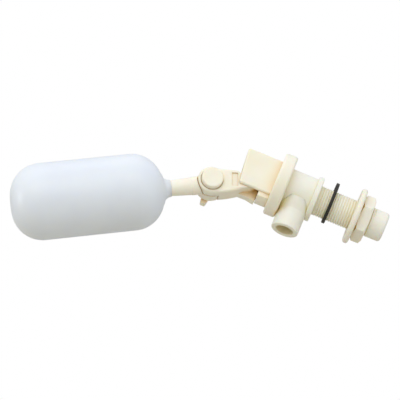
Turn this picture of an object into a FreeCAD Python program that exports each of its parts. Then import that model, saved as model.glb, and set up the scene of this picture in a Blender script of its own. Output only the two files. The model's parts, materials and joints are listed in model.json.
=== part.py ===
import FreeCAD, Part
import math
import operator
import os
import Sketcher

# A side-entry float valve for a water tank: threaded inlet stem with its clamping nut, a body with
# an open spout, a bonnet that carries the lever, and a float on a rod that is set at an angle.
#
# Millimetres. X runs along the inlet stem, positive towards the supply; the tank-side face of the
# body's flange is at X = 0. Z is up and the spout points down. The lever, rod and float lie in the
# XZ plane on the negative X side and move about axes parallel to Y. "Near" means negative Y.
# The model stands with the valve open: the lever rests on its stop and the float hangs low.

SIZES = [
    ("thread_radius", 10.4, "crest of the G 1/2 inlet thread"),
    ("thread_pitch", 1.814, "14 threads to the inch"),
    ("thread_depth", 0.45, "crest to root"),
    ("thread_start", 1.6, "first thread, from the flange"),
    ("thread_groove", 1.0, "width of the groove at the crests"),
    ("thread_floor", 0.3, "width of the groove's floor"),
    ("stem_length", 50.5, "flange face to stem end"),
    ("stem_bore", 6.4, "radius of the inlet passage"),
    ("stem_flare", 1.2, "chamfer of the passage where it meets the bulkhead"),
    ("thread_end", 40.6, "X where the thread runs out"),
    ("spigot_end_radius", 10.3, "plain end of the stem"),
    ("stem_lead", 2.2, "radius of the rounded lead at the stem end"),
    ("flange_radius", 15.9, "clamping flange"),
    ("flange_thickness", 3.7, ""),
    ("flange_rounding", 0.6, ""),
    ("barrel_radius", 13.8, "outside of the outlet chamber"),
    ("chamber_radius", 11.0, "inside of the outlet chamber"),
    ("bulkhead_thickness", 2.8, "wall that holds the nozzle"),
    ("bulkhead_face", -6.4, "X of the wall's chamber side"),
    ("collar_radius", 20.2, "threaded collar under the union ring"),
    ("collar_left", -26.5, "X of the sealing face"),
    ("collar_right", -23.4, ""),
    ("spout_place", -12.6, "X of the spout's axis"),
    ("spout_bottom", -30.3, "Z of the spout's mouth"),
    ("spout_radius", 9.5, "outside at the mouth"),
    ("spout_bore", 6.2, "radius"),
    ("spout_draft", 0.5, "mould draft, degrees a side"),
    ("spout_lip", 0.7, "rounding of its mouth"),
    ("spout_root", -8.0, "Z inside the barrel that the spout is drawn up to"),
    ("spout_flare_bottom", -16.5, "Z where the root starts to widen into the barrel"),
    ("spout_flare", 18.0, "degrees"),
    ("nozzle_tip", -22.2, "X of the seat that the washer closes"),
    ("nozzle_radius", 4.6, ""),
    ("nozzle_rim", 0.7, "width of the seat's rim"),
    ("nozzle_cone", 1.6, "length of the taper behind the rim"),
    ("nozzle_funnel", 4.0, "length of the funnel towards the orifice"),
    ("nozzle_edge", 0.6, "wall left at the funnel's mouth"),
    ("orifice_radius", 2.1, ""),
    ("ring_radius", 22.3, "union ring outside"),
    ("ring_left", -30.9, ""),
    ("ring_right", -22.2, ""),
    ("ring_lip", 1.6, "thickness of the lip over the bonnet flange"),
    ("ring_rounding", 1.8, "radius of its outer edges"),
    ("thread_allowance", 0.15, "radial clearance where a screw thread is left plain"),
    ("running_gap", 0.06, "radial clearance of a shaft that slides or turns"),
    ("plate_radius", 18.0, "bonnet plate inside the ring's lip"),
    ("plate_gap", 0.2, "radial gap round the plate"),
    ("boss_left", -38.9, "X of the face that the lever stops on"),
    ("block_half_width", 7.6, "stop block under the housing"),
    ("block_corner", -16.6, "Z of the block's lower corners"),
    ("block_rounding", 17.6, "radius of the block's underside"),
    ("bonnet_flange_radius", 20.0, ""),
    ("bonnet_gasket_margin", 0.4, "gasket edge inside the collar's edge"),
    ("bonnet_flange_right", -27.5, ""),
    ("housing_left", -56.3, "X of the housing's open end, at its top"),
    ("housing_rake", 2.7, "how much further right the end is at the bottom"),
    ("housing_width", 18.8, "across Y"),
    ("housing_height", 26.8, "across Z, centred on the axis"),
    ("housing_wall", 2.2, ""),
    ("housing_rounding", 1.3, "radius of its outer edges"),
    ("over_cut", 1.0, "how far a cut runs past the material"),
    ("end_wall_bottom", 2.0, "Z where the end wall stops above the lever"),
    ("piston_radius", 6.5, ""),
    ("piston_left", -52.0, "X when open"),
    ("piston_right", -27.0, "X when open"),
    ("piston_flat", -3.6, "Z of the flat that clears the lever hub"),
    ("piston_flat_gap", 0.6, "from the flat's end to the boss"),
    ("piston_edge", 0.6, "chamfer of the ends"),
    ("washer_radius", 5.0, "rubber seat washer"),
    ("washer_thickness", 3.0, ""),
    ("washer_proud", 0.5, "how far it stands out of the piston"),
    ("o_ring_place", -35.4, "X of the piston's O-ring when open"),
    ("o_ring_section", 0.76, "radius of its section"),
    ("o_ring_room", 0.15, "free width each side in the groove"),
    ("groove_depth", 1.5, "of the O-ring's groove"),
    ("pivot_across", -46.0, "X of the lever pivot"),
    ("pivot_up", -8.6, "Z of the lever pivot"),
    ("pin_radius", 1.9, ""),
    ("pin_skin", 0.6, "thickness of the housing left over the pin's near end"),
    ("hub_radius", 4.6, "lever round the pivot pin"),
    ("finger_reach", 8.7, "pivot to the centre of the finger tip"),
    ("finger_radius", 2.0, ""),
    ("finger_width", 4.8, "across Y"),
    ("finger_neck", 2.4, "between hub and tip"),
    ("finger_gap", 0.3, "clearance of the finger in the piston slot"),
    ("lever_swing", 28.0, "degrees from open to closed"),
    ("lever_width", 14.0, "across Y"),
    ("joint_reach", 27.1, "pivot to the rod joint"),
    ("lever_slope", 21.2, "degrees, joint up to pivot, when open"),
    ("joint_radius", 9.6, "round end of the lever and of the rod"),
    ("arm_top_angle", 62.7, "where the lever's top edge leaves the round end, degrees"),
    ("arm_bottom_angle", 81.0, "where its bottom edge leaves the round end, degrees"),
    ("arm_waist", -9.6, "top edge's corner, along from the pivot"),
    ("arm_waist_up", 7.8, ""),
    ("arm_hub", -6.0, "where the top edge meets the hub, along from the pivot"),
    ("arm_hub_up", 4.3, ""),
    ("arm_nape", -4.7, "where the bottom edge meets the hub, along from the pivot"),
    ("arm_nape_up", -5.0, ""),
    ("arm_belly", 60.0, "radius of the slightly bowed bottom edge"),
    ("arm_rounding", 1.6, "radius of the long edges"),
    ("heel_near", 0.8, "Y of the near face of the heel, which rests on the stop block"),
    ("heel_face", 5.3, "upper end of the face that meets the block, along from the pivot"),
    ("heel_face_up", -5.6, ""),
    ("heel_tip", 2.6, "lower corner of that face"),
    ("heel_tip_up", -11.5, ""),
    ("heel_waist", -2.7, ""),
    ("heel_waist_up", -8.3, ""),
    ("heel_tail", -8.6, "where the heel runs into the arm"),
    ("heel_tail_up", -6.2, ""),
    ("pocket_left", 13.7, "sink pocket in the near face, along from the joint"),
    ("pocket_right", 17.9, ""),
    ("pocket_bottom", -4.0, ""),
    ("pocket_top", 5.6, ""),
    ("pocket_depth", 0.8, ""),
    ("joint_gap", 0.2, "each side of the plane where lever and rod meet"),
    ("joint_clearance", 0.5, "radial, round the two round ends"),
    ("eye_far", 8.0, "Y of the rod eye's far face"),
    ("eye_radius", 10.1, "the rod's round end"),
    ("eye_edge", 0.5, "rounding of its far edge"),
    ("cap_radius", 7.45, "round head of the joint bolt"),
    ("cap_near", -11.0, "Y of the head's face"),
    ("cap_rounding", 1.1, ""),
    ("recess_radius", 7.75, "round recess that the head sits in"),
    ("recess_floor", -4.5, "Y"),
    ("bolt_radius", 2.9, ""),
    ("wing_hub_radius", 6.2, ""),
    ("wing_reach", 12.6, "bolt axis to the wing tips"),
    ("wing_root", 3.8, "half width of a wing at the hub"),
    ("wing_tip", 1.8, "half width of a wing at its tip"),
    ("wing_rounding", 1.1, "radius of the tips' corners"),
    ("wing_inset", 0.5, "wings' near side behind the hub's face"),
    ("wing_step", 1.2, "wings' far side below the hub's face"),
    ("wing_nut_near", 8.1, "Y of the nut's near face"),
    ("wing_nut_far", 14.0, "Y of the nut's far face"),
    ("bolt_end", 15.5, "Y of the bolt's end"),
    ("rod_droop", 30.8, "degrees below level, when open"),
    ("rod_offset", 0.8, "how far the rod's axis passes below the joint"),
    ("rod_root_radius", 6.1, "rod at the joint"),
    ("rod_tip_radius", 5.3, "rod at the float"),
    ("rod_length", 29.6, "joint to the rod's shoulder"),
    ("rod_collar", 13.6, "joint to the end of the rod's collar"),
    ("rod_collar_radius", 6.3, ""),
    ("rod_collar_taper", 0.5, "length of the collar's chamfer"),
    ("spigot_radius", 4.0, "rod end inside the float neck"),
    ("spigot_reach", 7.0, "how far it reaches past the float's near end"),
    ("spigot_chamfer", 1.0, ""),
    ("float_near", 33.6, "joint to the near end of the float"),
    ("float_length", 103.9, ""),
    ("float_radius", 26.1, ""),
    ("float_rounding", 21.0, "radius of the ends' corners"),
    ("float_wall", 1.4, ""),
    ("neck_radius", 6.2, "float neck at its mouth"),
    ("neck_root_radius", 9.4, "float neck where it meets the end"),
    ("neck_root", 0.5, "how far behind the near end that is"),
    ("neck_bush", 4.0, "how far the neck's bush reaches into the float"),
    ("neck_bush_wall", 1.4, ""),
    ("neck_bush_root", 2.0, "where the bush leaves the wall, past the near end"),
    ("neck_bush_root_radius", 8.8, ""),
    ("gasket_place", 8.6, "X of the tank gasket's left face"),
    ("gasket_thickness", 2.3, ""),
    ("gasket_inner", 12.4, "radius"),
    ("gasket_outer", 14.7, "radius"),
    ("gasket_edge", 0.4, "rounding of the outer edges"),
    ("gasket_lift", 1.9, "how far the loose gasket sits off the stem's axis"),
    ("slip_washer_left", 26.6, ""),
    ("slip_washer_radius", 19.8, ""),
    ("slip_washer_edge", 1.7, "rounding of its rim"),
    ("slip_washer_gap", 0.1, "between washer and nut"),
    ("nut_left", 30.7, ""),
    ("nut_right", 38.5, ""),
    ("nut_flats", 28.8, "across flats"),
    ("nut_corner_ratio", 1.1547, "across corners over across flats"),
    ("nut_chamfer", 1.3, "length of the corners' chamfer"),
    ("nut_turn", 23.0, "degrees, one corner from +Z towards the near side"),
    ("nut_bore", 10.55, "radius over the thread crests"),
]

CUTS = ("PartDesign::Pocket", "PartDesign::Groove", "PartDesign::SubtractiveHelix")
NEAR_AXIS = {"XY_Plane": 1, "YZ_Plane": 1, "XZ_Plane": -1}


class Size:
    """A number with the expression that ties it to the sheet."""

    def __init__(self, value, text):
        self.value = value
        self.text = text

    def __add__(self, other):
        return combined(self, other, "+", operator.add)

    def __radd__(self, other):
        return combined(other, self, "+", operator.add)

    def __sub__(self, other):
        return combined(self, other, "-", operator.sub)

    def __rsub__(self, other):
        return combined(other, self, "-", operator.sub)

    def __mul__(self, other):
        return combined(self, other, "*", operator.mul)

    def __rmul__(self, other):
        return combined(other, self, "*", operator.mul)

    def __truediv__(self, other):
        return combined(self, other, "/", operator.truediv)

    def __neg__(self):
        return combined(0, self, "-", operator.sub)


def as_size(number):
    """Let plain numbers stand where a Size is expected."""
    if isinstance(number, Size):
        return number
    return Size(float(number), repr(float(number)))


def combined(left, right, sign, work):
    left = as_size(left)
    right = as_size(right)
    return Size(work(left.value, right.value), "(%s %s %s)" % (left.text, sign, right.text))


def cosine(angle):
    """The cosine of an angle in degrees."""
    angle = as_size(angle)
    return Size(math.cos(math.radians(angle.value)), "cos(%s * 1deg)" % angle.text)


def sine(angle):
    """The sine of an angle in degrees."""
    angle = as_size(angle)
    return Size(math.sin(math.radians(angle.value)), "sin(%s * 1deg)" % angle.text)


class Sizes:
    """The sheet's cells by name."""


def make_sheet(doc):
    """Write the driving sizes into a sheet and return them as named sizes."""
    sheet = doc.addObject("Spreadsheet::Sheet", "Sizes")
    sizes = Sizes()
    for row, (name, value, meaning) in enumerate(SIZES, start=1):
        sheet.set("A%d" % row, meaning)
        sheet.set("B%d" % row, str(value))
        sheet.setAlias("B%d" % row, name)
        setattr(sizes, name, Size(value, "Sizes.%s" % name))
    doc.recompute()
    return sizes


def bind(thing, name, size):
    """Drive one property of an object by a size."""
    thing.setExpression(name, as_size(size).text)


def new_body(doc, name):
    body = doc.addObject("PartDesign::Body", name)
    body.Label = name
    return body


def place(body, across, up, turn=0):
    """Put a body's own origin at X, Z and turn it about Y by degrees."""
    body.Placement = FreeCAD.Placement(
        FreeCAD.Vector(as_size(across).value, 0, as_size(up).value),
        FreeCAD.Rotation(FreeCAD.Vector(0, 1, 0), as_size(turn).value),
    )
    bind(body, "Placement.Base.x", across)
    bind(body, "Placement.Base.z", up)
    bind(body, "Placement.Rotation.Angle", turn)


def new_sketch(body, name, plane, level=0):
    """A sketch parallel to one of the body's own planes, level away from it along the normal."""
    sketch = body.newObject("Sketcher::SketchObject", name)
    support = next(item for item in body.Origin.OriginFeatures if item.Role == plane)
    sketch.AttachmentSupport = [(support, "")]
    sketch.MapMode = "FlatFace"
    bind(sketch, "AttachmentOffset.Base.z", level)
    return sketch


def tie(sketch, kind, geometry, point, size):
    """Hold one point's distance from the sketch origin to a size."""
    constraint = Sketcher.Constraint(kind, -1, 1, geometry, point, size.value)
    index = sketch.addConstraint(constraint)
    bind(sketch, "Constraints[%d]" % index, size)


def arc_between(start, end, bow):
    """The arc from start to end that bows to the left of that way when bow is positive."""
    chord = end - start
    left = FreeCAD.Vector(-chord.y, chord.x, 0).normalize()
    side = math.copysign(1, bow)
    reach = math.sqrt(bow * bow - chord.Length * chord.Length / 4)
    centre = (start + end) * 0.5 - left * side * reach
    first, last = (end, start) if side > 0 else (start, end)
    begin = math.atan2(first.y - centre.y, first.x - centre.x)
    finish = math.atan2(last.y - centre.y, last.x - centre.x)
    circle = Part.Circle(centre, FreeCAD.Vector(0, 0, 1), abs(bow))
    return Part.ArcOfCircle(circle, begin, finish)


def draw_outline(sketch, corners):
    """Draw a closed outline. A corner is (across, up), or (across, up, bow) where the side that
    starts there is an arc of that radius, bowed to its left when positive."""
    corners = [tuple(as_size(number) for number in corner) for corner in corners]
    points = [FreeCAD.Vector(corner[0].value, corner[1].value, 0) for corner in corners]
    starts = []
    for index, corner in enumerate(corners):
        start = points[index]
        end = points[(index + 1) % len(points)]
        if len(corner) == 2:
            side = Part.LineSegment(start, end)
            starts.append(1)
        else:
            side = arc_between(start, end, corner[2].value)
            starts.append(2 if corner[2].value > 0 else 1)
        sketch.addGeometry(side, False)
    for index, first in enumerate(starts):
        following = (index + 1) % len(starts)
        joined = Sketcher.Constraint("Coincident", index, 3 - first, following, starts[following])
        sketch.addConstraint(joined)
    for index, corner in enumerate(corners):
        tie(sketch, "DistanceX", index, starts[index], corner[0])
        tie(sketch, "DistanceY", index, starts[index], corner[1])
        if len(corner) == 3:
            bow = corner[2] if corner[2].value > 0 else -corner[2]
            radius = sketch.addConstraint(Sketcher.Constraint("Radius", index, bow.value))
            bind(sketch, "Constraints[%d]" % radius, bow)


def draw_circle(sketch, across, up, radius):
    """Draw a circle and tie its centre and radius."""
    across, up, radius = as_size(across), as_size(up), as_size(radius)
    centre = FreeCAD.Vector(across.value, up.value, 0)
    circle = Part.Circle(centre, FreeCAD.Vector(0, 0, 1), radius.value)
    index = sketch.addGeometry(circle, False)
    tie(sketch, "DistanceX", index, 3, across)
    tie(sketch, "DistanceY", index, 3, up)
    constraint = sketch.addConstraint(Sketcher.Constraint("Radius", index, radius.value))
    bind(sketch, "Constraints[%d]" % constraint, radius)


def revolve(body, name, corners, cut=False):
    """Turn an outline (along X, radius) about the body's X axis."""
    sketch = new_sketch(body, name + "_outline", "XY_Plane")
    draw_outline(sketch, corners)
    kind = "PartDesign::Groove" if cut else "PartDesign::Revolution"
    feature = body.newObject(kind, name)
    feature.Profile = sketch
    feature.ReferenceAxis = (sketch, ["H_Axis"])
    feature.Angle = 360
    return feature


def extrude(body, name, plane, low, high, draw, cut=False):
    """Pad or pocket what draw puts in a sketch, from low to high along the plane's own axis."""
    level = low if NEAR_AXIS[plane] > 0 else -as_size(high)
    sketch = new_sketch(body, name + "_outline", plane, level)
    draw(sketch)
    kind = "PartDesign::Pocket" if cut else "PartDesign::Pad"
    feature = body.newObject(kind, name)
    feature.Profile = sketch
    feature.Reversed = cut
    bind(feature, "Length", as_size(high) - low)
    return feature


def box_outline(left, right, bottom, top):
    """A function that draws a rectangle."""
    return lambda sketch: draw_outline(
        sketch, [(left, bottom), (right, bottom), (right, top), (left, top)]
    )


def disc_outline(across, up, radius):
    """A function that draws a circle."""
    return lambda sketch: draw_circle(sketch, across, up, radius)


def round_edges(doc, body, name, radius, wanted):
    """Round the edges that wanted accepts."""
    doc.recompute()
    base = body.Tip
    chosen = []
    for number, edge in enumerate(base.Shape.Edges, start=1):
        if wanted(edge):
            chosen.append("Edge%d" % number)
    if not chosen:
        raise ValueError("%s: no edge to round in %s" % (name, body.Label))
    feature = body.newObject("PartDesign::Fillet", name)
    feature.Base = (base, chosen)
    bind(feature, "Radius", radius)
    return feature


def edge_middle(edge):
    return edge.valueAt((edge.FirstParameter + edge.LastParameter) / 2)


def is_circle(edge, radius):
    """Whether an edge is a circle of the given radius."""
    return isinstance(edge.Curve, Part.Circle) and abs(edge.Curve.Radius - radius.value) < 0.01


def make_valve_body(doc, size):
    """Clamping flange, outlet chamber and the threaded collar for the union ring."""
    body = new_body(doc, "valve_body")
    bulkhead_inner = size.bulkhead_face + size.bulkhead_thickness
    revolve(body, "shell", [
        (0, size.thread_radius),
        (0, size.flange_radius),
        (-size.flange_thickness, size.flange_radius),
        (-size.flange_thickness, size.barrel_radius),
        (size.collar_right, size.barrel_radius),
        (size.collar_right, size.collar_radius),
        (size.collar_left, size.collar_radius),
        (size.collar_left, size.chamber_radius),
        (size.bulkhead_face, size.chamber_radius),
        (size.bulkhead_face, size.nozzle_radius),
        (bulkhead_inner, size.nozzle_radius),
        (bulkhead_inner, size.thread_radius),
    ])
    extrude(body, "outlet", "XY_Plane", -size.barrel_radius - size.over_cut, 0,
            disc_outline(size.spout_place, 0, size.spout_bore), cut=True)
    round_edges(doc, body, "flange_edges", size.flange_rounding,
                lambda edge: is_circle(edge, size.flange_radius))
    return body


def make_outlet_spout(doc, size):
    """The open spout under the chamber, its root shaped to the barrel."""
    body = new_body(doc, "outlet_spout")
    spout = extrude(body, "tube", "XY_Plane", size.spout_bottom, size.spout_root,
                    disc_outline(size.spout_place, 0, size.spout_radius))
    bind(spout, "TaperAngle", size.spout_draft)
    flare = extrude(body, "flare", "XY_Plane", size.spout_flare_bottom, size.spout_root,
                    disc_outline(size.spout_place, 0, size.spout_radius))
    bind(flare, "TaperAngle", size.spout_flare)
    revolve(body, "saddle", [
        (size.collar_left, 0),
        (size.collar_left, size.barrel_radius),
        (-size.flange_thickness, size.barrel_radius),
        (-size.flange_thickness, size.flange_radius),
        (0, size.flange_radius),
        (0, 0),
    ], cut=True)
    extrude(body, "passage", "XY_Plane", size.spout_bottom - size.over_cut, 0,
            disc_outline(size.spout_place, 0, size.spout_bore), cut=True)
    round_edges(doc, body, "lip", size.spout_lip,
                lambda edge: abs(edge_middle(edge).z - size.spout_bottom.value) < 0.01)
    return body


def make_inlet_stem(doc, size):
    """The stem from the bulkhead through the tank wall, threaded up to a plain supply end."""
    body = new_body(doc, "inlet_stem")
    lead = size.stem_lead
    root = size.bulkhead_face + size.bulkhead_thickness
    revolve(body, "tube", [
        (root + size.stem_flare, size.stem_bore),
        (root, size.stem_bore + size.stem_flare),
        (root, size.thread_radius),
        (size.thread_end, size.thread_radius),
        (size.thread_end, size.spigot_end_radius),
        (size.stem_length - lead, size.spigot_end_radius, lead),
        (size.stem_length, size.spigot_end_radius - lead),
        (size.stem_length, size.stem_bore),
    ])
    make_thread(body, size)
    return body


def make_thread(body, size):
    """Cut the helical groove of the stem's thread."""
    half_top = size.thread_groove / 2
    half_root = size.thread_floor / 2
    root_radius = size.thread_radius - size.thread_depth
    over_radius = size.thread_radius + size.thread_allowance
    sketch = new_sketch(body, "thread_outline", "XY_Plane")
    draw_outline(sketch, [
        (size.thread_start - half_top, over_radius),
        (size.thread_start - half_root, root_radius),
        (size.thread_start + half_root, root_radius),
        (size.thread_start + half_top, over_radius),
    ])
    thread = body.newObject("PartDesign::SubtractiveHelix", "thread")
    thread.Profile = sketch
    thread.ReferenceAxis = (sketch, ["H_Axis"])
    thread.Mode = "pitch-height-angle"
    bind(thread, "Pitch", size.thread_pitch)
    bind(thread, "Height", size.thread_end - size.thread_start)
    return thread


def make_inlet_nozzle(doc, size):
    """The insert whose rim the seat washer closes, pressed into the bulkhead."""
    body = new_body(doc, "inlet_nozzle")
    inner_face = size.bulkhead_face + size.bulkhead_thickness
    revolve(body, "turned", [
        (size.nozzle_tip, size.orifice_radius),
        (size.nozzle_tip, size.orifice_radius + size.nozzle_rim),
        (size.nozzle_tip + size.nozzle_cone, size.nozzle_radius),
        (inner_face, size.nozzle_radius),
        (inner_face, size.nozzle_radius - size.nozzle_edge),
        (inner_face - size.nozzle_funnel, size.orifice_radius),
    ])
    return body


def make_bonnet(doc, size):
    """Flange and boss that guide the piston, with the housing of the lever in front."""
    body = new_body(doc, "bonnet")
    guide_radius = size.piston_radius + size.running_gap
    ring_inner_face = size.ring_left + size.ring_lip
    revolve(body, "plate", [
        (size.ring_left, 0),
        (size.ring_left, size.plate_radius),
        (ring_inner_face, size.plate_radius),
        (ring_inner_face, size.bonnet_flange_radius),
        (size.bonnet_flange_right, size.bonnet_flange_radius),
        (size.bonnet_flange_right, 0),
    ])
    half_width = size.housing_width / 2
    half_height = size.housing_height / 2
    inner_half = half_width - size.housing_wall
    inner_top = half_height - size.housing_wall
    end_wall = size.housing_left + size.housing_wall
    extrude(body, "stop_block", "YZ_Plane", size.boss_left, size.ring_left,
            lambda sketch: draw_outline(sketch, [
                (-size.block_half_width, 0),
                (-size.block_half_width, size.block_corner, -size.block_rounding),
                (size.block_half_width, size.block_corner),
                (size.block_half_width, 0),
            ]))
    extrude(body, "housing", "XZ_Plane", -half_width, half_width,
            lambda sketch: draw_outline(sketch, [
                (size.housing_left, half_height),
                (size.housing_left + size.housing_rake, -half_height),
                (ring_inner_face, -half_height),
                (ring_inner_face, half_height),
            ]))
    round_edges(doc, body, "housing_corners", size.housing_rounding,
                lambda edge: is_housing_corner(edge, size))
    extrude(body, "lever_space", "XZ_Plane", -inner_half, inner_half,
            box_outline(end_wall, size.boss_left, -size.plate_radius, inner_top), cut=True)
    extrude(body, "lever_slot", "XZ_Plane", -inner_half, inner_half,
            box_outline(size.housing_left - size.over_cut, end_wall + size.over_cut,
                        -size.plate_radius, size.end_wall_bottom), cut=True)
    extrude(body, "guide", "YZ_Plane", size.boss_left - size.over_cut,
            size.bonnet_flange_right + size.over_cut,
            disc_outline(0, 0, guide_radius), cut=True)
    extrude(body, "pin_hole", "XZ_Plane", -half_width + size.pin_skin, half_width + size.over_cut,
            disc_outline(size.pivot_across, size.pivot_up, size.pin_radius), cut=True)
    return body


def is_housing_corner(edge, size):
    """The housing's long outer edges and the outline of its left end."""
    middle = edge_middle(edge)
    on_side = abs(abs(middle.y) - size.housing_width.value / 2) < 0.01
    on_top = abs(abs(middle.z) - size.housing_height.value / 2) < 0.01
    lean = size.housing_rake.value * (0.5 - middle.z / size.housing_height.value)
    on_end = abs(middle.x - size.housing_left.value - lean) < 0.01
    left_of_boss = middle.x < size.boss_left.value
    return left_of_boss and (on_side + on_top + on_end) == 2


def make_union_ring(doc, size):
    """The ring that screws over the body's collar and clamps the bonnet flange."""
    body = new_body(doc, "union_ring")
    inner_face = size.ring_left + size.ring_lip
    rounding = size.ring_rounding
    lip_bore = size.plate_radius + size.plate_gap
    thread_bore = size.collar_radius + size.thread_allowance
    revolve(body, "turned", [
        (size.ring_left, lip_bore),
        (size.ring_left, size.ring_radius - rounding, rounding),
        (size.ring_left + rounding, size.ring_radius),
        (size.ring_right - rounding, size.ring_radius, rounding),
        (size.ring_right, size.ring_radius - rounding),
        (size.ring_right, thread_bore),
        (inner_face, thread_bore),
        (inner_face, lip_bore),
    ])
    return body


def make_bonnet_gasket(doc, size):
    """The flat seal between bonnet flange and body collar."""
    body = new_body(doc, "bonnet_gasket")
    inner = size.chamber_radius + size.bonnet_gasket_margin
    outer = size.collar_radius - size.bonnet_gasket_margin
    revolve(body, "turned", [
        (size.bonnet_flange_right, inner),
        (size.bonnet_flange_right, outer),
        (size.collar_left, outer),
        (size.collar_left, inner),
    ])
    return body


def finger_centre(size):
    """X of the finger tip's centre when the valve is open."""
    return size.pivot_across - size.finger_reach * sine(size.lever_swing / 2)


def make_piston(doc, size):
    """The piston, slotted for the lever's finger, with a pocket for the seat washer."""
    body = new_body(doc, "piston")
    pocket_floor = size.piston_right + size.washer_proud - size.washer_thickness
    groove_half = size.o_ring_section + size.o_ring_room
    groove_radius = size.piston_radius - size.groove_depth
    edge = size.piston_edge
    revolve(body, "turned", [
        (size.piston_left, 0),
        (size.piston_left, size.piston_radius - edge),
        (size.piston_left + edge, size.piston_radius),
        (size.o_ring_place - groove_half, size.piston_radius),
        (size.o_ring_place - groove_half, groove_radius),
        (size.o_ring_place + groove_half, groove_radius),
        (size.o_ring_place + groove_half, size.piston_radius),
        (size.piston_right - edge, size.piston_radius),
        (size.piston_right, size.piston_radius - edge),
        (size.piston_right, size.washer_radius),
        (pocket_floor, size.washer_radius),
        (pocket_floor, 0),
    ])
    middle = finger_centre(size)
    slot_half = size.finger_radius + size.finger_gap
    slot_side = size.finger_width / 2 + size.finger_gap
    over = size.piston_radius + size.over_cut
    extrude(body, "flat", "XZ_Plane", -over, over,
            box_outline(size.piston_left - size.over_cut, size.boss_left - size.piston_flat_gap,
                        -over, size.piston_flat), cut=True)
    extrude(body, "slot", "XY_Plane", -over, over,
            box_outline(middle - slot_half, middle + slot_half, -slot_side, slot_side), cut=True)
    return body


def make_seat_washer(doc, size):
    """The rubber disc that closes the nozzle."""
    body = new_body(doc, "seat_washer")
    right = size.piston_right + size.washer_proud
    revolve(body, "turned", [
        (right - size.washer_thickness, 0),
        (right - size.washer_thickness, size.washer_radius),
        (right, size.washer_radius),
        (right, 0),
    ])
    return body


def make_piston_o_ring(doc, size):
    """The O-ring that keeps the outlet chamber's water out of the lever housing."""
    body = new_body(doc, "piston_o_ring")
    sketch = new_sketch(body, "section", "XY_Plane")
    middle_radius = size.piston_radius - size.groove_depth + size.o_ring_section
    draw_circle(sketch, size.o_ring_place, middle_radius, size.o_ring_section)
    ring = body.newObject("PartDesign::Revolution", "turned")
    ring.Profile = sketch
    ring.ReferenceAxis = (sketch, ["H_Axis"])
    ring.Angle = 360
    return body


def make_pivot_pin(doc, size):
    """The pin that the lever swings on, pushed in from the far side and flush there."""
    body = new_body(doc, "pivot_pin")
    half = size.housing_width / 2
    extrude(body, "shank", "XZ_Plane", -half + size.pin_skin, half,
            disc_outline(0, 0, size.pin_radius))
    place(body, size.pivot_across, size.pivot_up)
    return body


def make_lever_arm(doc, size):
    """The lever in its own axes: pivot at the origin, rod joint on the negative X axis."""
    body = new_body(doc, "lever_arm")
    half = size.lever_width / 2
    past_side = half + size.over_cut
    reach = size.joint_reach
    round_end = size.joint_radius
    outline = [
        (-reach - round_end, 0, round_end),
        (-reach + round_end * cosine(size.arm_top_angle), round_end * sine(size.arm_top_angle)),
        (size.arm_waist, size.arm_waist_up),
        (size.arm_hub, size.arm_hub_up),
        (0, size.hub_radius, size.hub_radius),
        (size.hub_radius, 0, size.hub_radius),
        (0, -size.hub_radius),
        (size.arm_nape, size.arm_nape_up, size.arm_belly),
        (-reach + round_end * cosine(size.arm_bottom_angle),
         -round_end * sine(size.arm_bottom_angle), round_end),
    ]
    extrude(body, "arm", "XZ_Plane", -half, half, lambda sketch: draw_outline(sketch, outline))
    round_edges(doc, body, "arm_edges", size.arm_rounding,
                lambda edge: is_long_edge(edge, size))
    make_heel(body, size)
    extrude(body, "eye_clearance", "XZ_Plane", -size.joint_gap, past_side,
            disc_outline(-reach, 0, size.eye_radius + size.joint_clearance), cut=True)
    extrude(body, "head_recess", "XZ_Plane", -past_side, size.recess_floor,
            disc_outline(-reach, 0, size.recess_radius), cut=True)
    extrude(body, "pocket", "XZ_Plane", -past_side, -half + size.pocket_depth,
            box_outline(-reach + size.pocket_left, -reach + size.pocket_right,
                        size.pocket_bottom, size.pocket_top), cut=True)
    make_finger(body, size)
    extrude(body, "bolt_hole", "XZ_Plane", -past_side, past_side,
            disc_outline(-reach, 0, size.bolt_radius), cut=True)
    extrude(body, "pin_hole", "XZ_Plane", -past_side, past_side,
            disc_outline(0, 0, size.pin_radius + size.running_gap), cut=True)
    place(body, size.pivot_across, size.pivot_up, -size.lever_slope)
    return body


def is_long_edge(edge, size):
    """The near face's edges from the waist round the far end to the nape."""
    middle = edge_middle(edge)
    on_face = abs(middle.y + size.lever_width.value / 2) < 0.01
    return on_face and middle.x < size.arm_waist.value


def make_heel(body, size):
    """The heel under the hub's far half that comes to rest on the stop block."""
    extrude(body, "heel", "XZ_Plane", size.heel_near, size.lever_width / 2,
            lambda sketch: draw_outline(sketch, [
                (0, 0),
                (size.hub_radius, 0),
                (size.heel_face, size.heel_face_up),
                (size.heel_tip, size.heel_tip_up),
                (size.heel_waist, size.heel_waist_up),
                (size.heel_tail, size.heel_tail_up),
            ]))


def make_finger(body, size):
    """The finger that reaches up into the piston's slot."""
    half_width = size.finger_width / 2
    lean = 90 + size.lever_swing / 2 - size.lever_slope
    along_x = cosine(lean)
    along_z = sine(lean)
    tip_x = size.finger_reach * along_x
    tip_z = size.finger_reach * along_z
    neck = size.finger_neck / 2
    extrude(body, "finger", "XZ_Plane", -half_width, half_width,
            lambda sketch: draw_outline(sketch, [
                (neck * along_z, -neck * along_x),
                (tip_x + neck * along_z, tip_z - neck * along_x),
                (tip_x - neck * along_z, tip_z + neck * along_x),
                (-neck * along_z, neck * along_x),
            ]))
    extrude(body, "finger_tip", "XZ_Plane", -half_width, half_width,
            disc_outline(tip_x, tip_z, size.finger_radius))


def joint_place(size):
    """X and Z of the rod joint when the valve is open."""
    across = size.pivot_across - size.joint_reach * cosine(size.lever_slope)
    up = size.pivot_up - size.joint_reach * sine(size.lever_slope)
    return across, up


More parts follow.
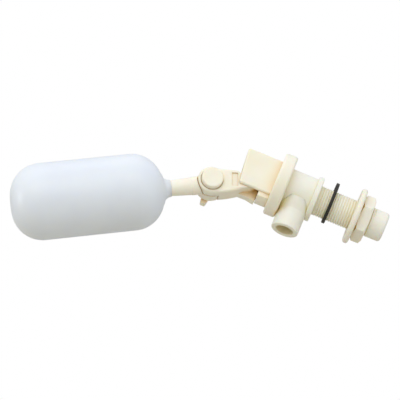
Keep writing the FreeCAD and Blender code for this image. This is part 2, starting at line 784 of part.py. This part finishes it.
def make_joint_bolt(doc, size):
    """The round-headed bolt through lever and rod."""
    body = new_body(doc, "joint_bolt")
    extrude(body, "head", "XZ_Plane", size.cap_near, size.recess_floor,
            disc_outline(0, 0, size.cap_radius))
    extrude(body, "shank", "XZ_Plane", size.recess_floor, size.bolt_end,
            disc_outline(0, 0, size.bolt_radius))
    round_edges(doc, body, "head_edge", size.cap_rounding,
                lambda edge: is_circle(edge, size.cap_radius)
                and edge_middle(edge).y < size.cap_near.value + 0.01)
    across, up = joint_place(size)
    place(body, across, up)
    return body


def make_wing_nut(doc, size):
    """The wing nut that clamps rod to lever, wings upright."""
    body = new_body(doc, "wing_nut")
    near = size.wing_nut_near
    far = size.wing_nut_far
    reach = size.wing_reach
    extrude(body, "hub", "XZ_Plane", near, far, disc_outline(0, 0, size.wing_hub_radius))
    extrude(body, "wings", "XZ_Plane", near + size.wing_inset, far - size.wing_step,
            lambda sketch: draw_outline(sketch, [
                (-size.wing_root, 0),
                (-size.wing_tip, -reach),
                (size.wing_tip, -reach),
                (size.wing_root, 0),
                (size.wing_tip, reach),
                (-size.wing_tip, reach),
            ]))
    round_edges(doc, body, "wing_tips", size.wing_rounding,
                lambda edge: abs(abs(edge_middle(edge).z) - reach.value) < 0.01
                and abs(edge_middle(edge).x) > size.wing_tip.value - 0.01)
    extrude(body, "bore", "XZ_Plane", near - size.over_cut, far + size.over_cut,
            disc_outline(0, 0, size.bolt_radius + size.running_gap), cut=True)
    across, up = joint_place(size)
    place(body, across, up)
    return body


def place_on_joint(body, size):
    """Turn X towards the float and let that axis pass a little below the rod joint."""
    across, up = joint_place(size)
    turn = 180 - size.rod_droop
    place(body, across + size.rod_offset * sine(turn), up + size.rod_offset * cosine(turn), turn)


def make_float_rod(doc, size):
    """The rod in its own axes: float along positive X, joint just above the origin."""
    body = new_body(doc, "float_rod")
    joint = -size.rod_offset
    spigot_end = size.float_near + size.spigot_reach
    revolve(body, "rod", [
        (0, 0),
        (0, size.rod_collar_radius),
        (size.rod_collar, size.rod_collar_radius),
        (size.rod_collar + size.rod_collar_taper, size.rod_root_radius),
        (size.rod_length, size.rod_tip_radius),
        (size.rod_length, size.spigot_radius),
        (spigot_end - size.spigot_chamfer, size.spigot_radius),
        (spigot_end, size.spigot_radius - size.spigot_chamfer),
        (spigot_end, 0),
    ])
    extrude(body, "lever_clearance", "XZ_Plane", -size.eye_radius, size.joint_gap,
            disc_outline(0, joint, size.joint_radius + size.joint_clearance), cut=True)
    extrude(body, "eye", "XZ_Plane", size.joint_gap, size.eye_far,
            disc_outline(0, joint, size.eye_radius))
    round_edges(doc, body, "eye_edge", size.eye_edge,
                lambda edge: is_circle(edge, size.eye_radius)
                and edge_middle(edge).y > size.eye_far.value - 0.01)
    extrude(body, "bolt_hole", "XZ_Plane", -size.eye_radius, size.eye_far + size.over_cut,
            disc_outline(0, joint, size.bolt_radius + size.running_gap), cut=True)
    place_on_joint(body, size)
    return body


def make_float_shell(doc, size):
    """The blow-moulded float, hollow, with a neck that the rod's spigot plugs."""
    body = new_body(doc, "float_shell")
    wall = size.float_wall
    near = size.float_near
    far = size.float_near + size.float_length
    flat = size.float_radius - size.float_rounding
    corner = size.float_rounding
    neck_mouth = size.rod_length
    neck_end = near + size.neck_bush
    inner_corner = corner - wall
    revolve(body, "shell", [
        (neck_mouth, size.spigot_radius),
        (neck_mouth, size.neck_radius),
        (near + size.neck_root, size.neck_root_radius, corner),
        (near + corner, size.float_radius),
        (far - corner, size.float_radius, corner),
        (far, flat),
        (far, 0),
        (far - wall, 0),
        (far - wall, flat, -inner_corner),
        (far - corner, size.float_radius - wall),
        (near + corner, size.float_radius - wall, -inner_corner),
        (near + size.neck_bush_root, size.neck_bush_root_radius),
        (neck_end, size.spigot_radius + size.neck_bush_wall),
        (neck_end, size.spigot_radius),
    ])
    place_on_joint(body, size)
    return body


def make_tank_gasket(doc, size):
    """The loose rubber ring that seals the flange to the tank wall."""
    body = new_body(doc, "tank_gasket")
    right = size.gasket_place + size.gasket_thickness
    rounding = size.gasket_edge
    revolve(body, "turned", [
        (size.gasket_place, size.gasket_inner),
        (size.gasket_place, size.gasket_outer - rounding, rounding),
        (size.gasket_place + rounding, size.gasket_outer),
        (right - rounding, size.gasket_outer, rounding),
        (right, size.gasket_outer - rounding),
        (right, size.gasket_inner),
    ])
    place(body, 0, size.gasket_lift)
    return body


def make_slip_washer(doc, size):
    """The thick washer that the nut turns against."""
    body = new_body(doc, "slip_washer")
    right = size.nut_left - size.slip_washer_gap
    edge = size.slip_washer_edge
    revolve(body, "turned", [
        (size.slip_washer_left, size.nut_bore),
        (size.slip_washer_left, size.slip_washer_radius - edge, edge),
        (size.slip_washer_left + edge, size.slip_washer_radius),
        (right - edge, size.slip_washer_radius, edge),
        (right, size.slip_washer_radius - edge),
        (right, size.nut_bore),
    ])
    return body


def make_locknut(doc, size):
    """The hexagon nut on the stem, its corners chamfered on the outer face."""
    body = new_body(doc, "locknut")
    corner_radius = size.nut_flats / 2 * size.nut_corner_ratio
    outside = corner_radius + size.over_cut

    def draw_hexagon(sketch):
        corners = []
        for number in range(6):
            angle = 90 + size.nut_turn + 60 * number
            corners.append((corner_radius * cosine(angle), corner_radius * sine(angle)))
        draw_outline(sketch, corners)

    extrude(body, "hexagon", "YZ_Plane", size.nut_left, size.nut_right, draw_hexagon)
    chamfer_ends = [
        (size.nut_right, size.nut_right - size.nut_chamfer),
        (size.nut_left, size.nut_left + size.nut_chamfer),
    ]
    for end, inner_end in chamfer_ends:
        revolve(body, "chamfer", [
            (end, size.nut_flats / 2),
            (end, outside),
            (inner_end, outside),
            (inner_end, corner_radius),
        ], cut=True)
    extrude(body, "bore", "YZ_Plane", size.nut_left - size.over_cut,
            size.nut_right + size.over_cut, disc_outline(0, 0, size.nut_bore), cut=True)
    return body


def check_cuts(body):
    """Stop if a pocket, groove or thread took no material away."""
    before = 0.0
    for feature in body.Group:
        if feature.isDerivedFrom("PartDesign::Feature"):
            volume = feature.Shape.Volume
            if feature.TypeId in CUTS and volume > before - 0.01:
                raise ValueError("%s in %s cut nothing" % (feature.Name, body.Label))
            before = volume


def export(doc, bodies):
    """Check every object, then write each piece to its own file."""
    for item in doc.Objects:
        if "Invalid" in item.State or "Error" in item.State:
            raise ValueError("%s (%s) failed: %s" % (item.Label, item.Name, item.State))
    os.makedirs("parts", exist_ok=True)
    for body in bodies:
        check_cuts(body)
        shape = body.Shape
        if shape.isNull() or not shape.isValid() or len(shape.Solids) != 1:
            raise ValueError("%s is not one valid solid" % body.Label)
    for body in bodies:
        body.Shape.exportStep(os.path.join("parts", body.Label + ".step"))
        print("%-16s %9.1f mm3" % (body.Label, body.Shape.Volume))


def main():
    doc = FreeCAD.newDocument("float_valve")
    size = make_sheet(doc)
    makers = [
        make_valve_body, make_outlet_spout, make_inlet_stem, make_inlet_nozzle,
        make_bonnet, make_union_ring, make_bonnet_gasket, make_piston, make_seat_washer,
        make_piston_o_ring, make_pivot_pin, make_lever_arm, make_joint_bolt, make_wing_nut,
        make_float_rod, make_float_shell, make_tank_gasket, make_slip_washer, make_locknut,
    ]
    bodies = []
    for make in makers:
        bodies.append(make(doc, size))
    doc.recompute()
    export(doc, bodies)


main()
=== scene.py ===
"""Looks of the float valve: materials, the float's skin, floor, light and camera round the CAD frame."""

import json
import math

import bmesh
import bpy
from mathutils import Matrix, Vector


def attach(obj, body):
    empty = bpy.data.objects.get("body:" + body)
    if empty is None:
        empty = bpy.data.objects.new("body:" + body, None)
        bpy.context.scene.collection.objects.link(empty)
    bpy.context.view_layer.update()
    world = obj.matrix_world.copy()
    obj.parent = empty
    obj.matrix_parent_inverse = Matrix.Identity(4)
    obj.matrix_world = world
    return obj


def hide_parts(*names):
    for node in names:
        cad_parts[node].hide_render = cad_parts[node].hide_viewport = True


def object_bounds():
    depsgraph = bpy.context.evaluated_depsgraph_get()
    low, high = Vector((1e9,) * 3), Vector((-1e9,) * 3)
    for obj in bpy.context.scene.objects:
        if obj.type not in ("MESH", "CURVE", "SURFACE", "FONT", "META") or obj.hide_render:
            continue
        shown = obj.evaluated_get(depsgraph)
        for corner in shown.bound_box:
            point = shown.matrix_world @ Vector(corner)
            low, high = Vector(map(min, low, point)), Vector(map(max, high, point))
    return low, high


MM = 0.001

# The camera looks up at the valve from in front and below, leaning to one side. Angles in degrees.
VIEW_AZIMUTH = 2.13
VIEW_ELEVATION = -23.99
VIEW_ROLL = 23.28
VIEW_DISTANCE = 1500 * MM
VIEW_OFFSET = Vector((-1.35, -3.0, 6.36)) * MM
LENS = 198.62
SENSOR = 36.0
CLOSEST_SEEN = 50 * MM

# A pale floor, a little lower than the camera: its depth below the valve and half its side, in metres.
FLOOR_DROP = 0.70
FLOOR_HALF_SIZE = 4.0

# The sky lights the valve most from its bright side and least from the side across from it.
SKY_BRIGHT_SIDE = (-0.32, -0.94, 0.05)
SKY_BRIGHT = 1.24
SKY_DIM = 0.62

# Square lamps: name, direction from the valve, side of the square in metres, watts.
LAMP_DISTANCE = 1.0
LAMPS = (
    ("front_lamp", (-0.38, -0.90, 0.20), 0.8, 2.2),
    ("top_lamp", (-0.37, -0.09, 0.92), 0.5, 0.5),
    ("left_lamp", (-0.92, 0.05, -0.30), 0.35, 1.2),
)

# How far red, green and blue light travel inside the solid plastic and inside the float's wall.
WARM_SPREAD = (2.0 * MM, 1.2 * MM, 0.6 * MM)
MILKY_SPREAD = (7.0 * MM, 8.0 * MM, 10.0 * MM)

# Moulded plastics by slot: pale colour, deep colour, painted shade colour for crevices, roughness, light
# inside it.
MOULDED_PLASTICS = {
    "body_plastic": ("f9f9f0", "f4f3e5", "f0e4b4", 0.36, 0.3),
    "cream_plastic": ("fdf8ea", "f9f3de", "e8c272", 0.34, 0.3),
    "nut_plastic": ("fbf8ee", "f6f2e2", "e2c176", 0.38, 0.3),
    "seat_plastic": ("d8d4c8", "ccc7ba", "b3a06c", 0.5, 0.1),
}

# The float in millimetres and degrees. Its lengths run along its own axis from the rod joint, and that
# axis lies FLOAT_OFFSET below the joint's centre.
FLOAT_DROOP = 30.8
FLOAT_OFFSET = 0.8
FLOAT_NEAR = 33.6
FLOAT_LENGTH = 103.9
FLOAT_RADIUS = 26.1
FLOAT_ROUNDING = 21.0

# The neck has a flat end that the rod runs into, with one ring of points inside its rim. A fillet
# flares from the rim, and the dome takes over a step further out than the fillet's end.
NECK_END = 28.4
NECK_INNER_RING = 4.0
NECK_RADIUS = 5.9
NECK_FILLET = 5.4
NECK_FILLET_END = -8
NECK_STEP_TO_DOME = 0.6

# The parting line of the blow moulding, a low rib that starts just outside the neck.
SEAM_HEIGHT = 0.12
SEAM_WIDTH = 0.35
SEAM_CLEAR_OF_NECK = 1.0

# How finely the float is divided round its axis and along its outline.
FLOAT_SIDES = 160
NECK_STEPS = 16
DOME_STEPS = 40
BARREL_STEPS = 24
POLE_STEPS = 4

# Places of the colour sockets on a Mix node, which has sockets of the same name for each kind of data.
MIX_FIRST_COLOUR = 6
MIX_SECOND_COLOUR = 7
MIX_COLOUR_RESULT = 2


def hex_colour(text):
    """Linear colour of an sRGB hex string, with full alpha."""
    parts = [int(text[i : i + 2], 16) / 255 for i in (0, 2, 4)]
    linear = [p / 12.92 if p <= 0.04045 else ((p + 0.055) / 1.055) ** 2.4 for p in parts]
    return (*linear, 1.0)


def add_object(name, data):
    """A new object in the scene that holds a mesh, lamp or camera."""
    thing = bpy.data.objects.new(name, data)
    bpy.context.scene.collection.objects.link(thing)
    return thing


# Materials ---------------------------------------------------------------------------------------


class Nodes:
    """The node tree of a material or a world, with one short call for each kind of node used here."""

    def __init__(self, owner, coordinates="Object"):
        self.owner = owner
        self.owner.use_nodes = True
        self.tree = owner.node_tree
        self.tree.nodes.clear()
        self.place = self.add("ShaderNodeTexCoord").outputs[coordinates]

    def add(self, kind, **settings):
        node = self.tree.nodes.new(kind)
        for key, value in settings.items():
            setattr(node, key, value)
        return node

    def join(self, output, socket):
        self.tree.links.new(output, socket)

    def noise(self, size, detail, stretch=(1, 1, 1)):
        """Cloudy noise, 0 to 1, whose blobs are about size metres across."""
        mapping = self.add("ShaderNodeMapping")
        mapping.inputs["Scale"].default_value = [s / size for s in stretch]
        self.join(self.place, mapping.inputs["Vector"])
        noise = self.add("ShaderNodeTexNoise")
        noise.inputs["Scale"].default_value = 1.0
        noise.inputs["Detail"].default_value = detail
        self.join(mapping.outputs["Vector"], noise.inputs["Vector"])
        return noise.outputs["Fac"]

    def fade(self, value, low, high, to_low, to_high):
        """value from low..high mapped to to_low..to_high and held at the ends."""
        node = self.add("ShaderNodeMapRange")
        limits = {"From Min": low, "From Max": high, "To Min": to_low, "To Max": to_high}
        for name, number in limits.items():
            node.inputs[name].default_value = number
        self.join(value, node.inputs["Value"])
        return node.outputs["Result"]

    def blend(self, factor, first, second):
        """Colour between first and second; each is a colour or another node's output."""
        node = self.add("ShaderNodeMix", data_type="RGBA")
        self.join(factor, node.inputs["Factor"])
        for place, colour in ((MIX_FIRST_COLOUR, first), (MIX_SECOND_COLOUR, second)):
            if isinstance(colour, bpy.types.NodeSocket):
                self.join(colour, node.inputs[place])
            else:
                node.inputs[place].default_value = colour
        return node.outputs[MIX_COLOUR_RESULT]

    def bump(self, height, depth, normal=None):
        """Surface normal for a height map, depth in metres for the full 0 to 1 of height."""
        node = self.add("ShaderNodeBump")
        node.inputs["Strength"].default_value = 1.0
        node.inputs["Distance"].default_value = depth
        self.join(height, node.inputs["Height"])
        if normal is not None:
            self.join(normal, node.inputs["Normal"])
        return node.outputs["Normal"]

    def openness(self, reach):
        """1 where the surface lies open, towards 0 in crevices narrower than reach."""
        node = self.add("ShaderNodeAmbientOcclusion", samples=12)
        node.inputs["Distance"].default_value = reach
        return node.outputs["AO"]

    def soft_edges(self, radius):
        """Surface normal that turns over sharp edges as over a small radius."""
        node = self.add("ShaderNodeBevel", samples=6)
        node.inputs["Radius"].default_value = radius
        return node.outputs["Normal"]

    def surface(self, colour, rough, normal, **fixed):
        """The finished material: colour, roughness and normal from nodes, all else fixed numbers."""
        shader = self.add("ShaderNodeBsdfPrincipled")
        self.join(colour, shader.inputs["Base Color"])
        self.join(rough, shader.inputs["Roughness"])
        self.join(normal, shader.inputs["Normal"])
        for name, value in fixed.items():
            shader.inputs[name.replace("_", " ")].default_value = value
        output = self.add("ShaderNodeOutputMaterial")
        self.join(shader.outputs["BSDF"], output.inputs["Surface"])
        return self.owner


def cloudy_colour(nodes, clouds, pale, deep):
    """Pale plastic with deeper clouds in it."""
    return nodes.blend(nodes.fade(clouds, 0.35, 0.68, 0, 1), hex_colour(pale), hex_colour(deep))


def moulded_plastic(name, pale, deep, painted_crevice_shade, rough, glow):
    """Injection-moulded plastic: cloudy colour, painted warm shade in crevices, flow marks, light inside
    it.
    """
    nodes = Nodes(bpy.data.materials.new(name))
    colour = cloudy_colour(nodes, nodes.noise(22 * MM, detail=4.0), pale, deep)
    # Painted shade: where ambient occlusion finds a crevice, the colour turns to a warmer, darker shade
    # colour.
    colour = nodes.blend(nodes.fade(nodes.openness(25 * MM), 0.1, 0.8, 0, 1), hex_colour(painted_crevice_shade), colour)
    flow = nodes.noise(5 * MM, detail=2.0, stretch=(0.25, 1, 1))
    gloss = nodes.fade(flow, 0.3, 0.7, rough - 0.05, rough + 0.07)
    grain = nodes.bump(nodes.noise(0.35 * MM, detail=2.0), 0.012 * MM, nodes.soft_edges(0.5 * MM))
    normal = nodes.bump(nodes.noise(7 * MM, detail=1.0), 0.10 * MM, grain)
    return nodes.surface(
        colour,
        gloss,
        normal,
        Subsurface_Weight=glow,
        Subsurface_Radius=WARM_SPREAD,
        Subsurface_Scale=1.0,
        IOR=1.49,
    )


def milky_plastic(name, pale, deep):
    """Blow-moulded polyethylene: thin, milky and full of light, with slow waves in its skin."""
    nodes = Nodes(bpy.data.materials.new(name))
    colour = cloudy_colour(nodes, nodes.noise(30 * MM, detail=3.0), pale, deep)
    gloss = nodes.fade(nodes.noise(9 * MM, detail=2.0), 0.3, 0.7, 0.30, 0.38)
    waves = nodes.bump(nodes.noise(16 * MM, detail=1.0), 0.12 * MM)
    return nodes.surface(
        colour,
        gloss,
        waves,
        Subsurface_Weight=0.5,
        Subsurface_Radius=MILKY_SPREAD,
        Subsurface_Scale=1.0,
        IOR=1.5,
    )


def black_rubber():
    """Matt black rubber with a dusty bloom and a fine pitted grain."""
    nodes = Nodes(bpy.data.materials.new("black_rubber"))
    dust = nodes.noise(3 * MM, detail=5.0)
    colour = nodes.blend(nodes.fade(dust, 0.45, 0.75, 0, 1), hex_colour("1b1a17"), hex_colour("35332d"))
    rough = nodes.fade(dust, 0.3, 0.7, 0.48, 0.66)
    normal = nodes.bump(nodes.noise(0.25 * MM, detail=3.0), 0.03 * MM)
    return nodes.surface(colour, rough, normal, IOR=1.5)


def studio_paper():
    """Pale seamless studio paper for the floor."""
    nodes = Nodes(bpy.data.materials.new("studio_paper"))
    fibre = nodes.noise(60 * MM, detail=6.0)
    colour = nodes.blend(nodes.fade(fibre, 0.3, 0.7, 0, 1), hex_colour("d4cfc0"), hex_colour("d8d3c4"))
    rough = nodes.fade(fibre, 0.3, 0.7, 0.85, 0.95)
    normal = nodes.bump(nodes.noise(2 * MM, detail=3.0), 0.05 * MM)
    return nodes.surface(colour, rough, normal, IOR=1.4)


def finishes():
    """One material for each of the record's material slots."""
    finish = {slot: moulded_plastic(slot, *look) for slot, look in MOULDED_PLASTICS.items()}
    finish["float_plastic"] = milky_plastic("float_plastic", "e9f0fe", "e5ecfb")
    finish["black_rubber"] = black_rubber()
    return finish


def paint_nodes(frame, finish):
    """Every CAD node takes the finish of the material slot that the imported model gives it."""
    for node in frame["nodes"].values():
        for held in node.material_slots:
            held.material = finish[held.material.name.split(".")[0]]


# The float's skin --------------------------------------------------------------------------------


def arc(centre, radius, start, stop, steps):
    """Points (along, out) on an arc, angles in degrees from the along axis."""
    points = []
    for i in range(steps + 1):
        angle = math.radians(start + (stop - start) * i / steps)
        points.append((centre[0] + radius * math.cos(angle), centre[1] + radius * math.sin(angle)))
    return points


def float_outline():
    """The float's outside from the neck's end almost to the far pole, (along, out) in mm."""
    near_dome = FLOAT_NEAR + FLOAT_ROUNDING
    far_dome = FLOAT_NEAR + FLOAT_LENGTH - FLOAT_ROUNDING
    flat = FLOAT_RADIUS - FLOAT_ROUNDING
    outline = [(NECK_END, NECK_INNER_RING)]
    fillet_centre = (NECK_END, NECK_RADIUS + NECK_FILLET)
    outline += arc(fillet_centre, NECK_FILLET, -90, NECK_FILLET_END, NECK_STEPS)
    dome = arc((near_dome, flat), FLOAT_ROUNDING, 180, 90, DOME_STEPS)
    outline += [point for point in dome if point[1] > outline[-1][1] + NECK_STEP_TO_DOME]
    for i in range(1, BARREL_STEPS):
        outline.append((near_dome + (far_dome - near_dome) * i / BARREL_STEPS, FLOAT_RADIUS))
    outline += arc((far_dome, flat), FLOAT_ROUNDING, 90, 0, DOME_STEPS)
    for k in range(POLE_STEPS - 1, 0, -1):
        outline.append((FLOAT_NEAR + FLOAT_LENGTH, flat * k / POLE_STEPS))
    return outline


def seam_swell(angle, out):
    """How far the parting line stands out at an angle round the float, in mm."""
    if out <= NECK_RADIUS + SEAM_CLEAR_OF_NECK:
        return 0
    return SEAM_HEIGHT * math.exp(-((math.sin(angle) * out / SEAM_WIDTH) ** 2))


def float_mesh(start, along, down, across):
    """The float's outline turned round the axis that runs from start, closed at both ends."""
    build = bmesh.new()
    rings = []
    for place, out in float_outline():
        ring = []
        for i in range(FLOAT_SIDES):
            angle = 2 * math.pi * i / FLOAT_SIDES
            side = math.cos(angle) * down + math.sin(angle) * across
            reach = out + seam_swell(angle, out)
            ring.append(build.verts.new(start + (along * place + side * reach) * MM))
        rings.append(ring)
    end = build.verts.new(start + along * NECK_END * MM)
    pole = build.verts.new(start + along * (FLOAT_NEAR + FLOAT_LENGTH) * MM)
    for i in range(FLOAT_SIDES):
        k = (i + 1) % FLOAT_SIDES
        for first, second in zip(rings, rings[1:]):
            build.faces.new((first[i], first[k], second[k], second[i]))
        build.faces.new((end, rings[0][k], rings[0][i]))
        build.faces.new((rings[-1][i], rings[-1][k], pole))
    bmesh.ops.recalc_face_normals(build, faces=build.faces)
    data = bpy.data.meshes.new("float_skin")
    build.to_mesh(data)
    build.free()
    for face in data.polygons:
        face.use_smooth = True
    return data


def make_float_skin(joints, finish):
    """The blow-moulded float as one milky skin: soft shoulders and its parting line."""
    joint = next(j for j in joints if j["name"] == "float_angle")
    droop = math.radians(FLOAT_DROOP)
    along = Vector((-math.cos(droop), 0, -math.sin(droop)))
    across = Vector((0, 1, 0))
    down = along.cross(across)
    start = Vector(joint["pos_m"]) + down * FLOAT_OFFSET * MM
    skin = add_object("float_skin", float_mesh(start, along, down, across))
    skin.data.materials.append(finish["float_plastic"])
    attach(skin, "float")
    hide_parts("float_shell")


# Studio ------------------------------------------------------------------------------------------


def lay_floor(centre):
    """One square of studio paper under the valve."""
    corners = []
    for i, j in ((-1, -1), (1, -1), (1, 1), (-1, 1)):
        corners.append(centre + Vector((i * FLOOR_HALF_SIZE, j * FLOOR_HALF_SIZE, -FLOOR_DROP)))
    data = bpy.data.meshes.new("studio_floor")
    data.from_pydata(corners, [], [(0, 1, 2, 3)])
    data.materials.append(studio_paper())
    add_object("studio_floor", data)


def light_sky():
    """White to the camera, and a soft light that fades from one side of the sky to the other."""
    world = bpy.data.worlds.new("studio")
    bpy.context.scene.world = world
    nodes = Nodes(world, "Generated")
    side = nodes.add("ShaderNodeVectorMath", operation="DOT_PRODUCT")
    direction, bright_side = side.inputs[:2]
    nodes.join(nodes.place, direction)
    bright_side.default_value = Vector(SKY_BRIGHT_SIDE).normalized()
    soft = nodes.add("ShaderNodeBackground")
    nodes.join(nodes.fade(side.outputs["Value"], -1, 1, SKY_DIM, SKY_BRIGHT), soft.inputs["Strength"])
    white = nodes.add("ShaderNodeBackground")
    white.inputs["Strength"].default_value = 1.0
    white.inputs["Color"].default_value = (1, 1, 1, 1)
    mix = nodes.add("ShaderNodeMixShader")
    to_camera, as_light, as_backdrop = mix.inputs
    nodes.join(nodes.add("ShaderNodeLightPath").outputs["Is Camera Ray"], to_camera)
    nodes.join(soft.outputs["Background"], as_light)
    nodes.join(white.outputs["Background"], as_backdrop)
    output = nodes.add("ShaderNodeOutputWorld")
    nodes.join(mix.outputs["Shader"], output.inputs["Surface"])


def add_lamp(centre, name, direction, size, watts):
    """A square soft lamp that faces the centre from a direction."""
    data = bpy.data.lights.new(name, "AREA")
    data.energy = watts
    data.size = size
    lamp = add_object(name, data)
    lamp.location = centre + Vector(direction).normalized() * LAMP_DISTANCE
    lamp.rotation_mode = "QUATERNION"
    lamp.rotation_quaternion = (centre - lamp.location).to_track_quat("-Z", "Y")


def aim_camera(target):
    """The camera looks at the target from the azimuth and elevation, turned by the roll."""
    azimuth, elevation, roll = (math.radians(a) for a in (VIEW_AZIMUTH, VIEW_ELEVATION, VIEW_ROLL))
    right = Vector((math.cos(azimuth), math.sin(azimuth), 0))
    level_back = Vector((math.sin(azimuth), -math.cos(azimuth), 0))
    back = level_back * math.cos(elevation) + Vector((0, 0, math.sin(elevation)))
    up = back.cross(right)
    leaning_right = math.cos(roll) * right + math.sin(roll) * up
    leaning_up = -math.sin(roll) * right + math.cos(roll) * up
    data = bpy.data.cameras.new("studio_camera")
    data.lens = LENS
    data.sensor_width = SENSOR
    data.clip_start = CLOSEST_SEEN
    camera = add_object("studio_camera", data)
    turn = Matrix((leaning_right, leaning_up, back)).transposed().to_4x4()
    camera.matrix_world = Matrix.Translation(target + back * VIEW_DISTANCE) @ turn
    bpy.context.scene.camera = camera


# The scene ---------------------------------------------------------------------------------------

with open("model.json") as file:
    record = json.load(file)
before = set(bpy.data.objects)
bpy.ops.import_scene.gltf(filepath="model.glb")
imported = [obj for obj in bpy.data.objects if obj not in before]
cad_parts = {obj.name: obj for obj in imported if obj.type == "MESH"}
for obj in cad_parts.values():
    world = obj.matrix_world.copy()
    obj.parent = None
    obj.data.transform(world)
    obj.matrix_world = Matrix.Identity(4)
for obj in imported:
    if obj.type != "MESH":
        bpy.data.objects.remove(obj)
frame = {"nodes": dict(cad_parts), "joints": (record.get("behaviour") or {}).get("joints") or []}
cad_low, cad_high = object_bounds()
middle = (cad_low + cad_high) / 2

finish = finishes()
paint_nodes(frame, finish)
make_float_skin(frame["joints"], finish)

lay_floor(middle)
light_sky()
for lamp in LAMPS:
    add_lamp(middle, *lamp)
aim_camera(middle + VIEW_OFFSET)
bpy.context.scene.view_settings.view_transform = "Standard"
